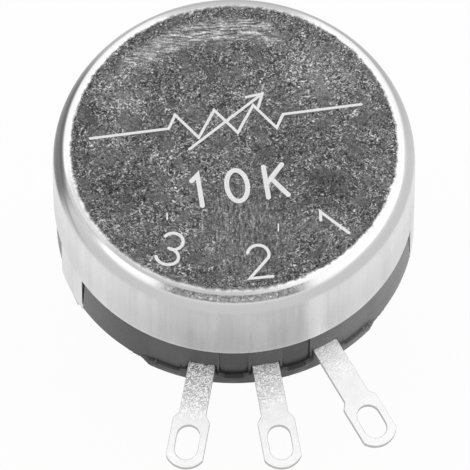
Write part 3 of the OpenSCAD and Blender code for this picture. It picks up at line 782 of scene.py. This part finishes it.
# each figure is strokes in a box one unit high, drawn about its middle
FIGURES = {
    "0": [arc(0, 0, 0.29, 0.5, 0, 348, 28)],
    "1": [[(-0.17, 0.33), (0.02, 0.5), (0.02, -0.5)]],
    "2": [arc(0, 0.21, 0.29, 0.29, 165, -25, 14) + [(-0.30, -0.5), (0.32, -0.5)]],
    "3": [arc(-0.01, 0.245, 0.27, 0.255, 160, -90, 14),
          arc(-0.03, -0.245, 0.31, 0.255, 96, -160, 16)],
    "k": [[(-0.26, 0.5), (-0.26, -0.5)], [(0.26, 0.5), (-0.24, -0.05)],
          [(-0.10, 0.10), (0.30, -0.5)]],
}


def resistor_symbol():
    """The circuit sign of a variable resistor: leads with a zigzag, and a slanting arrow."""
    peak, first, pitch, end, lead = 0.34, 1.15, 0.46, 1.35, 3.2
    zig = [(-lead, 0.0), (-end, 0.0), (-first, peak)]
    for k in range(1, 6):
        zig.append((-first + pitch * k, peak if k % 2 == 0 else -peak))
    zig += [(end, 0.0), (lead, 0.0)]
    tip = (0.95, 0.62)
    arrow = [(-0.95, -0.62), tip]
    head = [(0.56, 0.58), tip, (0.80, 0.26)]
    return [zig, arrow, head]


def marking(name, figures, centre, turn, height, advance, width, closed=()):
    """Figures side by side on the can's back, about the centre, turned by an angle in degrees.

    Those whose places in the row are listed as closed are loops.
    """
    bm = bmesh.new()
    m = Matrix.Rotation(math.radians(turn), 2)
    start = -advance * (len(figures) - 1) / 2
    for k, figure in enumerate(figures):
        for layer, stroke in enumerate(figure):
            placed = []
            for px, py in stroke:
                q = m @ Vector((px * height + start + advance * k, py * height))
                placed.append((centre[0] + q.x, centre[1] + q.y))
            ribbon(bm, placed, width, CAN_TOP - INK_SUNK + INK_LAYER * layer, k in closed)
    obj = new_object(bm, name)
    assign(obj, INK)
    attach(obj, "housing")


ROW_TURN = -1.9
marking("marking_sign", [resistor_symbol()], (-0.20 * MM, 2.38 * MM), ROW_TURN, 3.3 * MM, 0.0,
        0.22 * MM)
marking("marking_value", [FIGURES["1"], FIGURES["0"], FIGURES["k"]], (-0.36 * MM, -3.40 * MM),
        ROW_TURN, 2.75 * MM, 2.95 * MM, 0.38 * MM, closed=(1,))
# the figure beside each terminal: radius in mm, bearing and turn
BESIDE_TERMINALS = {"1": (10.20, 38.8, 39.4), "2": (10.27, 0.6, -4.0), "3": (10.22, -38.4, -27.0)}
for figure, (radius, bearing, turn) in BESIDE_TERMINALS.items():
    b = math.radians(bearing)
    centre = (radius * MM * math.sin(b), -radius * MM * math.cos(b))
    marking(f"marking_{figure}", [FIGURES[figure]], centre, turn, 2.85 * MM, 0.0, 0.25 * MM)


# Stage


def floor_material():
    """White ground that keeps the object's shadow."""
    t = Tree(bpy.data.materials.new("ground"))
    rays = t.node("ShaderNodeLightPath").outputs
    seen = t.math("MAXIMUM", rays["Is Camera Ray"], rays["Is Transmission Ray"])
    share = t.math("MAXIMUM", t.times(seen, 0.93), t.times(rays["Is Glossy Ray"], 0.5))
    matt = t.node("ShaderNodeBsdfDiffuse", {"Color": (0.95, 0.95, 0.95, 1)}).outputs[0]
    glow = t.node("ShaderNodeEmission", {"Color": (1, 1, 1, 1), "Strength": 1.0}).outputs[0]
    return t.finish(t.node("ShaderNodeMixShader", {0: share, 1: matt, 2: glow}).outputs[0])


def ground():
    bm = bmesh.new()
    places = [-FLOOR_HALF + 2 * FLOOR_HALF * i / FLOOR_CELLS for i in range(FLOOR_CELLS + 1)]
    verts = [[bm.verts.new((x, y, FLOOR_Z)) for x in places] for y in places]
    for near, far in zip(verts, verts[1:]):
        for i in range(FLOOR_CELLS):
            bm.faces.new((near[i], near[i + 1], far[i + 1], far[i]))
    obj = new_object(bm, "ground")
    obj.data.materials.append(floor_material())


ground()


def world():
    """A world that is white to look at, and lights the object a little less."""
    t = Tree(bpy.data.worlds.new("white"), "ShaderNodeOutputWorld")
    rays = t.node("ShaderNodeLightPath").outputs
    seen = t.math("MAXIMUM", rays["Is Camera Ray"], rays["Is Glossy Ray"])
    seen = t.math("MAXIMUM", seen, rays["Is Transmission Ray"])
    strength = t.fit(seen, 0.0, 1.0, WORLD_LIGHT, 1.0, smooth=False)
    inputs = {"Color": (1, 1, 1, 1), "Strength": strength}
    bpy.context.scene.world = t.finish(t.node("ShaderNodeBackground", inputs).outputs[0])


world()


def way_to(bearing, elevation):
    """The unit vector from the object towards a bearing and an elevation, in radians."""
    flat = math.cos(elevation)
    return Vector((math.sin(bearing) * flat, -math.cos(bearing) * flat, math.sin(elevation)))


def look_back(name, data, target, way, distance):
    """An object for a lamp or a camera that looks at the target from the way's end."""
    obj = bpy.data.objects.new(name, data)
    obj.location = target + way * distance
    obj.rotation_euler = way.to_track_quat("Z", "Y").to_euler()
    bpy.context.scene.collection.objects.link(obj)
    return obj


def lamp(name, bearing, elevation, distance, size, power):
    """A soft rectangular lamp that looks at the object."""
    data = bpy.data.lights.new(name, "AREA")
    data.shape = "RECTANGLE"
    data.size, data.size_y = size
    data.energy = power
    way = way_to(math.radians(bearing), math.radians(elevation))
    look_back(name, data, Vector(LAMP_TARGET), way, distance)


for name, settings in LAMPS.items():
    lamp(name, *settings)


def camera():
    """The photograph's view: from above the tags, nearly without perspective."""
    data = bpy.data.cameras.new("camera")
    data.sensor_width = 36
    data.lens = VIEW_ZOOM * VIEW_DISTANCE * 1000
    data.clip_start = 0.05
    data.clip_end = 10
    way = way_to(-VIEW_TURN, VIEW_RISE)
    bpy.context.scene.camera = look_back("camera", data, Vector(VIEW_TARGET) * MM, way,
                                         VIEW_DISTANCE)


camera()
bpy.context.scene.view_settings.view_transform = "Standard"
